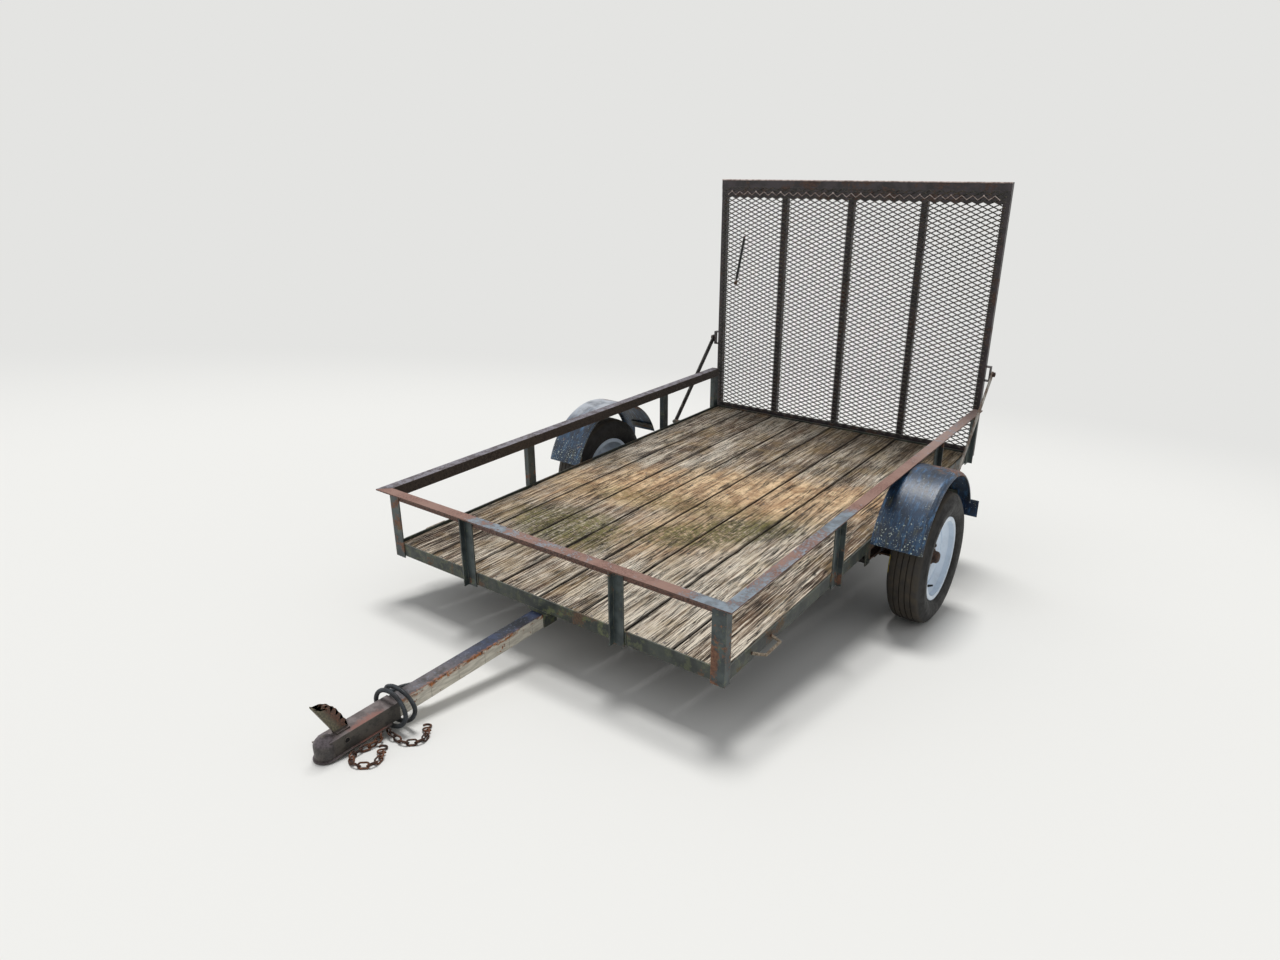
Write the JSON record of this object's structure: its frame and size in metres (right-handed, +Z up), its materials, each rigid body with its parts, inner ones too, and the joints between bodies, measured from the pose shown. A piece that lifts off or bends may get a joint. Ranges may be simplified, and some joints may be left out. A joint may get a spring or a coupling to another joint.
{
  "type": "single-axle utility trailer",
  "caption": "Small single-axle utility trailer with an angle-iron frame and rail, plank deck, round fenders and an upright mesh ramp gate, parked nose-down on its coupler.",
  "frame": {"origin": "centre of the footprint's box on the floor, without the wiring lead", "axes": "+Z up, -Y towards the coupler, +X towards the trailer's left side"},
  "size_m": [2, 3.3346, 1.8922],
  "materials": {
    "frame_paint": "olive-black paint, mossy and rusty",
    "rail_rust": "red-brown rust with worn blue-grey paint",
    "post_paint": "teal-black paint, rusty low down",
    "tongue_paint": "blue-black top, chipped cream side",
    "deck_wood": "weathered grey-brown planks",
    "fender_paint": "scratched navy gloss",
    "tyre_rubber": "faded black rubber",
    "wheel_paint": "white enamel",
    "rusty_steel": "brown rust",
    "running_gear": "black paint and rust",
    "gate_paint": "dark brown-black paint",
    "gate_mesh_steel": "black expanded steel",
    "stay_steel": "worn grey-black bar",
    "harness_loom": "black corrugated loom",
    "plug_plastic": "black moulded plastic"
  },
  "bodies": {
    "chassis": {"frame_rail_left": "frame_paint", "frame_rail_right": "frame_paint", "frame_rail_front": "frame_paint", "frame_rail_rear": "frame_paint", "crossmembers": "frame_paint", "deck_planks": "deck_wood", "top_rail_left": "rail_rust", "top_rail_right": "rail_rust", "top_rail_front": "rail_rust", "side_posts_left": "post_paint", "side_posts_right": "post_paint", "rear_posts": "post_paint", "front_posts": "post_paint", "corner_posts": "post_paint", "tongue": "tongue_paint", "tongue_saddle": "frame_paint", "coupler": "rusty_steel", "coupler_latch": "rusty_steel", "axle": "running_gear", "leaf_spring_left": "running_gear", "leaf_spring_right": "running_gear", "spring_hangers": "frame_paint", "axle_clamps": "running_gear", "fender_left": "fender_paint", "fender_right": "fender_paint", "fender_arms": "frame_paint", "hinge_ears": "gate_paint", "stay_bosses": "frame_paint", "lamp_plates": "fender_paint", "tie_down_loops": "rusty_steel", "safety_chains": "rusty_steel", "harness_grommet": "harness_loom", "harness_coil": "harness_loom", "harness_lead": "harness_loom", "harness_tail": "harness_loom", "harness_plug": "plug_plastic"},
    "wheel_left": {"tyre_left": "tyre_rubber", "rim_left": "wheel_paint", "hub_left": "rusty_steel"},
    "wheel_right": {"tyre_right": "tyre_rubber", "rim_right": "wheel_paint", "hub_right": "rusty_steel"},
    "ramp_gate": {"gate_top_bar": "gate_paint", "gate_bottom_bar": "gate_paint", "gate_uprights": "gate_paint", "gate_mesh": "gate_mesh_steel", "gate_straps": "gate_paint", "hinge_barrels": "gate_paint", "hanging_rod": "running_gear"},
    "stay_left": {"stay_bar_left": "stay_steel", "stay_pin_left": "rusty_steel"},
    "stay_right": {"stay_bar_right": "stay_steel", "stay_pin_right": "rusty_steel"}
  },
  "joints": [
    {"name": "wheel_left_spin", "type": "hinge", "parent": "chassis", "child": "wheel_left", "pos_m": [0.896, 0.66063, 0.288], "axis": [1, 0, 0], "continuous": true},
    {"name": "wheel_right_spin", "type": "hinge", "parent": "chassis", "child": "wheel_right", "pos_m": [-0.896, 0.66063, 0.288], "axis": [1, 0, 0], "continuous": true},
    {"name": "gate_drop", "type": "hinge", "parent": "chassis", "child": "ramp_gate", "pos_m": [0, 1.65423, 0.54564], "axis": [-1, 0, 0], "range_deg": [0, 120]},
    {"name": "stay_left_swing", "type": "hinge", "parent": "chassis", "child": "stay_left", "pos_m": [0.812, 1.2407, 0.50595], "axis": [1, 0, 0], "range_deg": [0, 105]},
    {"name": "stay_right_swing", "type": "hinge", "parent": "chassis", "child": "stay_right", "pos_m": [-0.812, 1.2407, 0.50595], "axis": [1, 0, 0], "range_deg": [0, 105]}
  ]
}
